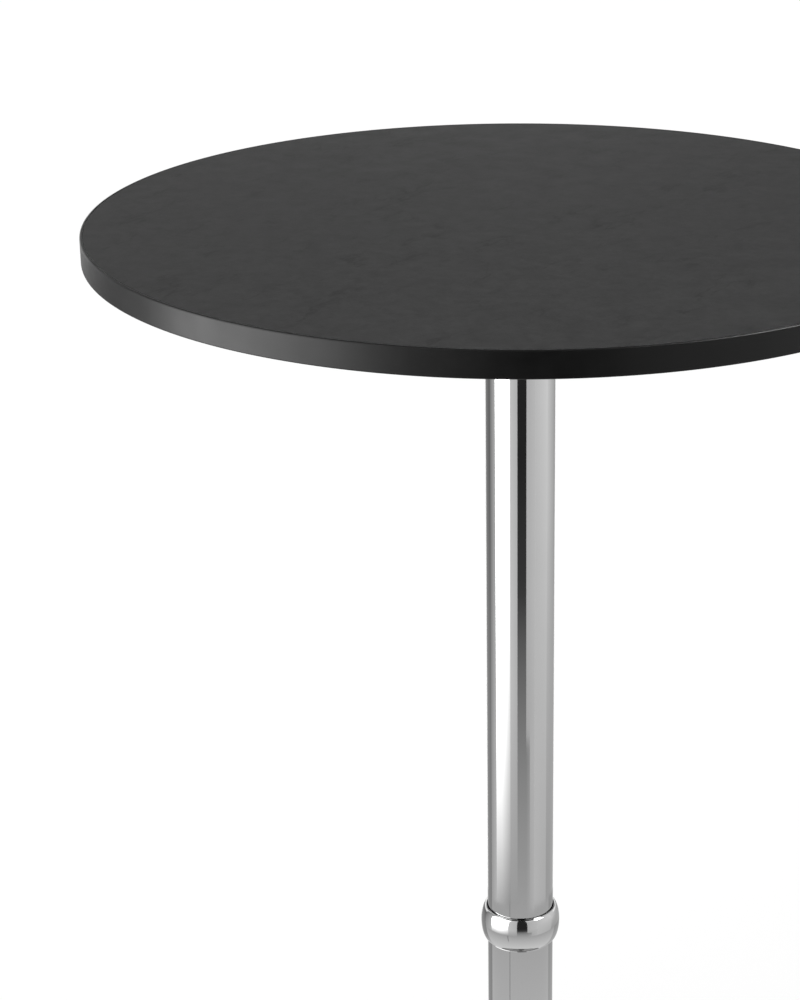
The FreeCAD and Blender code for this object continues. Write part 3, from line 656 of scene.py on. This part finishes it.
RECIPES = {
    "black_laminate": laminate_recipe,
    "edge_band": band_recipe,
    "board_core": board_recipe,
    "backing_laminate": backing_recipe,
    "chrome": chrome_recipe,
    "black_steel": powder_recipe,
    "zinc_steel": zinc_recipe,
    "raw_steel": raw_steel_recipe,
    "cast_weight": casting_recipe,
    "glide_nylon": nylon_recipe,
    "seam_glue": glue_recipe,
}
finishes = {slot: finish(f"finish_{slot}", recipe) for slot, recipe in RECIPES.items()}


def dress(piece, slot, body, *nodes):
    """Gives a new piece its finish and its body, and the slot of the nodes that it stands for, if any."""
    piece.data.materials.append(finishes[slot])
    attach(piece, body)
    if nodes:
        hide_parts(*nodes)


def dress_nodes():
    """Every CAD node gets the finish of its own slot."""
    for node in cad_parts.values():
        for index, material in enumerate(node.data.materials):
            slot = material.name.split(".")[0]
            node.data.materials[index] = finishes[slot]


def build_pieces():
    dress_nodes()
    dress(top_face(), "black_laminate", "table", "top_laminate")
    dress(edge_trim(), "edge_band", "table", "edge_band")
    dress(glue_line(), "seam_glue", "table")
    dress(tube_piece("column_upper", "upper_tube"), "chrome", "table", "upper_tube")
    dress(tube_piece("column_lower", "lower_tube"), "chrome", "table", "lower_tube")
    dress(collar(), "chrome", "table", "joint_collar")
    dress(neck_trim(), "chrome", "table", "neck_ring")
    dress(base_shell(), "chrome", "table", "base_cover")
    for number in range(1, GLIDE_COUNT + 1):
        pad = f"glide_pad_{number}"
        dress(glide_foot(number), "glide_nylon", pad, pad)


# Stage: floor, white surroundings, cards that only reflections see, and lamps

FLOOR_RADIUS = 14.0
FLOOR_SIDES = 96
FLOOR_GREY = 0.93
AMBIENT = 0.55

# Shares of plain white in the floor, to the camera and in reflections
FLOOR_WHITE_SHARE = 0.75
FLOOR_GLOSSY_SHARE = 0.1

# Cards round the table, which show only in reflections and light nothing: painted reflections of softboxes,
# walls, flags and a lamp, and on the floor painted reflections of its light and shade. Bearings are in
# degrees, 0 towards the camera and positive to its right. First come the bearings and the (distance from the
# axis, height) that cards share. Each card has its two bearings, its near and far edge, its brightness at
# both bearings, low along the near edge and high towards the far one, and the share of the way over which low
# becomes high. Those on the floor lie 2 to 6 mm over it, one over another.
SOFTBOX = (-90, -34)
SOFTBOX_SPLIT = -66
SOFTBOX_KNEE = (2.2, 0.9)
LEFT_BACK = (-156, -118)
DOOR = (-9.5, 20)
SPILL_END = 33
RIGHT_CORNER = 50
RIGHT_END = 100
RIGHT_BACK = 118
BACK_MIDDLE = 180
BACK_SILL = (1.5, 0.95)
BACK_TOP = (1.6, 3.4)
CARD_FOOT = (0.85, 0.0)
ALL_ROUND = (0, 360)
CARD_SIDES = 24
CARDS = {
    "softbox_low_left": dict(
        bearings=(SOFTBOX[0], SOFTBOX_SPLIT), near=CARD_FOOT, far=SOFTBOX_KNEE,
        low=(0.85, 0.7), high=(8.8, 9.2), ramp=0.6,
    ),
    "softbox_low_right": dict(
        bearings=(SOFTBOX_SPLIT, SOFTBOX[1]), near=CARD_FOOT, far=SOFTBOX_KNEE,
        low=(0.7, 0.5), high=(9.2, 4.1), ramp=0.6,
    ),
    "softbox_high": dict(
        bearings=SOFTBOX, near=SOFTBOX_KNEE, far=(1.4, 2.6),
        low=(9.5, 4.5), high=(6.0, 3.0), ramp=0.3,
    ),
    "flag_left": dict(
        bearings=(LEFT_BACK[1], SOFTBOX[0]), near=CARD_FOOT, far=(1.4, 2.0),
        low=(0.6, 0.85), high=(0.3, 0.8), ramp=0.2,
    ),
    "flag_left_back": dict(
        bearings=LEFT_BACK, near=(0.6, 0.0), far=(2.0, 0.5),
        low=(0.42, 0.42), high=(0.36, 0.2), ramp=0.6,
    ),
    "wall_front_left": dict(
        bearings=(SOFTBOX[1], DOOR[0]), near=CARD_FOOT, far=(1.7, 2.4),
        low=(0.6, 0.6), high=(1.0, 0.83), ramp=0.1,
    ),
    # Painted shade: the floor's reflection darkening towards the dark doorway.
    "doorway_painted_shade": dict(
        bearings=DOOR, near=(0.85, 0.003), far=(1.75, 0.003),
        low=(0.62, 0.62), high=(0.07, 0.07), ramp=1.0,
    ),
    "doorway": dict(
        bearings=DOOR, near=(1.75, 0.0), far=(1.1, 3.3),
        low=(0.07, 0.07), high=(0.03, 0.03), ramp=0.07,
    ),
    # Painted shade: the floor's reflection darker beside the doorway, towards its far edge.
    "doorway_spill_painted_shade": dict(
        bearings=(DOOR[1], SPILL_END), near=(0.84, 0.004), far=(1.27, 0.004),
        low=(0.62, 0.7), high=(0.36, 0.5), ramp=1.0,
    ),
    "wall_front_right": dict(
        bearings=(DOOR[1], RIGHT_CORNER), near=(1.27, 0.0), far=(1.6, 1.75),
        low=(0.7, 0.82), high=(0.77, 0.9), ramp=0.12,
    ),
    "floor_front_right": dict(
        bearings=(SPILL_END, RIGHT_CORNER), near=(0.84, 0.004), far=(1.27, 0.004),
        low=(0.7, 0.82), high=(0.77, 0.83), ramp=1.0,
    ),
    "wall_right": dict(
        bearings=(RIGHT_CORNER, RIGHT_END), near=CARD_FOOT, far=(1.6, 1.75),
        low=(0.85, 0.75), high=(0.92, 1.1), ramp=0.3,
    ),
    "flag_right_back": dict(
        bearings=(RIGHT_END, 163), near=CARD_FOOT, far=(2.0, 0.5),
        low=(0.58, 0.6), high=(1.02, 0.38), ramp=0.55,
    ),
    "wall_back_low": dict(
        bearings=(RIGHT_BACK, 242), near=(1.7, 0.65), far=BACK_SILL,
        low=(1.4, 1.4), high=(1.6, 1.6), ramp=1.0,
    ),
    "wall_back_right": dict(
        bearings=(145, BACK_MIDDLE), near=BACK_SILL, far=BACK_TOP,
        low=(0.1, 3.0), high=(0.1, 0.1), ramp=0.2,
    ),
    "wall_back_left": dict(
        bearings=(BACK_MIDDLE, 215), near=BACK_SILL, far=BACK_TOP,
        low=(3.0, 2.0), high=(0.1, 0.1), ramp=0.2,
    ),
    # Painted highlight: a bright sheet that lights nothing, for the highlight on the band's arris and the
    # collar's lip.
    "painted_highlight_card": dict(
        bearings=(60, 88), near=(1.4, 1.75), far=(1.15, 2.3),
        low=(30.0, 30.0), high=(30.0, 30.0), ramp=1.0,
    ),
    # Painted light: the floor's reflection round the column, brightest near it and fading outwards.
    "floor_near_painted_light": dict(
        bearings=ALL_ROUND, near=(0.24, 0.002), far=(0.86, 0.002),
        low=(1.05, 1.05), high=(0.62, 0.62), ramp=1.0,
    ),
    # Painted shade: the floor's reflection darker outwards at the right and back.
    "floor_right_back_painted_shade": dict(
        bearings=(RIGHT_BACK, 165), near=(0.24, 0.004), far=(0.85, 0.004),
        low=(0.75, 0.72), high=(0.46, 0.44), ramp=1.0,
    ),
    # Painted shade: the floor's reflection darker outwards at the left and back.
    "floor_left_back_painted_shade": dict(
        bearings=LEFT_BACK, near=(0.3, 0.004), far=(0.6, 0.004),
        low=(1.0, 1.0), high=(0.42, 0.42), ramp=1.0,
    ),
    # Painted shadow: a thin dark line on the floor's reflection, as of a post's shadow.
    "painted_shadow_line": dict(
        bearings=(-38, -35.4), near=(0.5, 0.006), far=(0.85, 0.006),
        low=(0.82, 0.82), high=(0.4, 0.4), ramp=0.3,
    ),
    # Painted light: the floor's reflection under the base, bright where the floor lies in the base's shadow.
    "floor_under_painted_light": dict(
        bearings=ALL_ROUND, near=(0.01, 0.002), far=(0.24, 0.002),
        low=(0.7, 0.7), high=(1.05, 1.05), ramp=1.0,
    ),
    "ceiling_back": dict(
        bearings=(105, 255), near=(0.05, 3.4), far=BACK_TOP,
        low=(0.25, 0.25), high=(0.25, 0.25), ramp=1.0,
    ),
}

# A low cone of screens round the column, for the reflections in the base alone: only what lies under it sees
# it. Its top, its waist and its foot are (distance from the axis, height). Each sector has its two bearings
# and its brightness at both of them.
SCREEN_TOP = (0.0255, 0.45)
SCREEN_WAIST = (0.45, 0.257)
SCREEN_FOOT = (0.95, 0.03)
SCREEN_TOP_LIGHT = (1.0, 1.0)
SCREEN_FOOT_LIGHT = (0.62, 0.62)
SCREEN_TOP_RAMP = 0.3
SCREEN_SECTORS = [
    ((-105, -70), (0.5, 0.95)),
    ((-70, SOFTBOX[1]), (0.95, 0.6)),
    ((SOFTBOX[1], DOOR[0]), (0.6, 0.7)),
    (DOOR, (0.3, 0.35)),
    ((DOOR[1], 75), (0.8, 0.9)),
    ((75, RIGHT_BACK), (0.9, 0.5)),
    ((RIGHT_BACK, 160), (0.5, 0.6)),
    ((160, 215), (1.0, 0.9)),
    ((215, 255), (0.45, 0.5)),
]


def light_path(tree, *names):
    """1 for the named kinds of ray, and 0 for the others."""
    path = add(tree, "ShaderNodeLightPath").outputs
    found = path[names[0]]
    for name in names[1:]:
        found = add(tree, "ShaderNodeMath", {0: found, 1: path[name]}, operation="MAXIMUM").outputs[0]
    return found


def stage_object(name, vertices, faces):
    """A part of the stage, and its material's node tree, which holds only the output."""
    mesh = bpy.data.meshes.new(name)
    mesh.from_pydata(vertices, [], faces)
    made = bpy.data.objects.new(name, mesh)
    link(made)
    material = bpy.data.materials.new(name)
    material.use_nodes = True
    material.node_tree.nodes.remove(material.node_tree.nodes["Principled BSDF"])
    mesh.materials.append(material)
    return made, material.node_tree


def show(tree, shader):
    tree.links.new(shader, tree.nodes["Material Output"].inputs["Surface"])


def one_sided(tree, shader):
    """The shader on the side that the face looks to, and nothing on its back."""
    clear = add(tree, "ShaderNodeBsdfTransparent").outputs[0]
    behind = add(tree, "ShaderNodeNewGeometry").outputs["Backfacing"]
    return add(tree, "ShaderNodeMixShader", {0: behind, 1: shader, 2: clear}).outputs[0]


def make_world():
    """White to the camera and in reflections, and a plain ambient level for everything else."""
    world = bpy.data.worlds.new("surroundings")
    world.use_nodes = True
    tree = world.node_tree
    seen = light_path(tree, "Is Camera Ray", "Is Glossy Ray", "Is Transmission Ray")
    level = spread(tree, seen, 0.0, 1.0, AMBIENT, 1.0)
    back = tree.nodes["Background"]
    back.inputs["Color"].default_value = grey(1.0)
    tree.links.new(level, back.inputs["Strength"])
    bpy.context.scene.world = world


def make_floor():
    """A wide pale floor: near white to the camera, with the table's shadow, and clear from below."""
    angles = [TURN * k / FLOOR_SIDES for k in range(FLOOR_SIDES)]
    corners = [(FLOOR_RADIUS * math.cos(angle), FLOOR_RADIUS * math.sin(angle), 0.0) for angle in angles]
    made, tree = stage_object("floor", corners, [list(range(FLOOR_SIDES))])
    made.visible_diffuse = False
    paper = add(tree, "ShaderNodeBsdfDiffuse", {"Color": grey(FLOOR_GREY)}).outputs[0]
    white = add(tree, "ShaderNodeEmission", {"Color": grey(1.0), "Strength": 1.0}).outputs[0]
    direct = times(tree, light_path(tree, "Is Camera Ray", "Is Transmission Ray"), FLOOR_WHITE_SHARE)
    mirrored = times(tree, light_path(tree, "Is Glossy Ray"), FLOOR_GLOSSY_SHARE)
    share = plus(tree, direct, mirrored)
    above = add(tree, "ShaderNodeMixShader", {0: share, 1: paper, 2: white}).outputs[0]
    show(tree, one_sided(tree, above))


def card_piece(name, bearings, near, far):
    """A card's curved strip, whose UV runs from 0 to 1 round the table and from the near edge to the far."""
    vertices, faces = [], []
    for k in range(CARD_SIDES + 1):
        bearing = math.radians(bearings[0] + (bearings[1] - bearings[0]) * k / CARD_SIDES)
        for reach, height in (near, far):
            vertices.append((reach * math.sin(bearing), -reach * math.cos(bearing), height))
    for k in range(CARD_SIDES):
        faces.append([2 * k, 2 * k + 2, 2 * k + 3, 2 * k + 1])
    made, tree = stage_object(name, vertices, faces)
    round_and_out = made.data.uv_layers.new(name="round_and_out")
    for loop in made.data.loops:
        column, row = divmod(loop.vertex_index, 2)
        round_and_out.data[loop.index].uv = (column / CARD_SIDES, row)
    return made, tree


def make_card(name, bearings, near, far, low, high, ramp, from_below=False):
    """A curved card round the table that only reflections see, or only those that come from below it."""
    made, tree = card_piece(name, bearings, near, far)
    at = add(tree, "ShaderNodeSeparateXYZ", {"Vector": add(tree, "ShaderNodeTexCoord").outputs["UV"]})
    near_light = spread(tree, at.outputs["X"], 0.0, 1.0, *low)
    far_light = spread(tree, at.outputs["X"], 0.0, 1.0, *high)
    strength = spread(tree, at.outputs["Y"], 0.0, ramp, near_light, far_light)
    shader = add(tree, "ShaderNodeEmission", {"Color": grey(1.0), "Strength": strength}).outputs[0]
    if from_below:
        shader = one_sided(tree, shader)
    show(tree, shader)
    made.visible_camera = False
    made.visible_diffuse = False
    made.visible_shadow = False


def make_screens():
    """The cone over the base, in two rings: from its top to its waist, and on to its foot."""
    for number, (bearings, light) in enumerate(SCREEN_SECTORS, 1):
        make_card(
            f"screen_inner_{number}", bearings, SCREEN_TOP, SCREEN_WAIST,
            low=SCREEN_TOP_LIGHT, high=light, ramp=SCREEN_TOP_RAMP, from_below=True,
        )
        make_card(
            f"screen_outer_{number}", bearings, SCREEN_WAIST, SCREEN_FOOT,
            low=light, high=SCREEN_FOOT_LIGHT, ramp=1.0, from_below=True,
        )


def make_sun(name, bearing, height, strength, softness):
    """A broad distant lamp, from a bearing and a height in degrees, that doesn't show in reflections."""
    data = bpy.data.lights.new(name, "SUN")
    data.energy = strength
    data.angle = math.radians(softness)
    made = bpy.data.objects.new(name, data)
    made.rotation_euler = (math.radians(90 - height), 0.0, math.radians(bearing))
    made.visible_camera = False
    made.visible_glossy = False
    link(made)


def make_camera():
    data = bpy.data.cameras.new("camera")
    data.sensor_width = SENSOR
    data.lens = LENS
    data.shift_x = CAMERA_SHIFT_X
    made = bpy.data.objects.new("camera", data)
    made.location = (0.0, -CAMERA_DISTANCE, cad_high.z + CAMERA_ABOVE_TOP)
    made.rotation_euler = (math.pi / 2 - CAMERA_PITCH, 0.0, 0.0)
    link(made)
    bpy.context.scene.camera = made


build_pieces()
make_world()
make_floor()
for card_name, card in CARDS.items():
    make_card(card_name, **card)
make_screens()
make_sun("sun_left", bearing=-60, height=55, strength=1.5, softness=50)
make_sun("sun_right", bearing=110, height=60, strength=0.7, softness=50)
make_camera()
bpy.context.scene.view_settings.view_transform = "Standard"
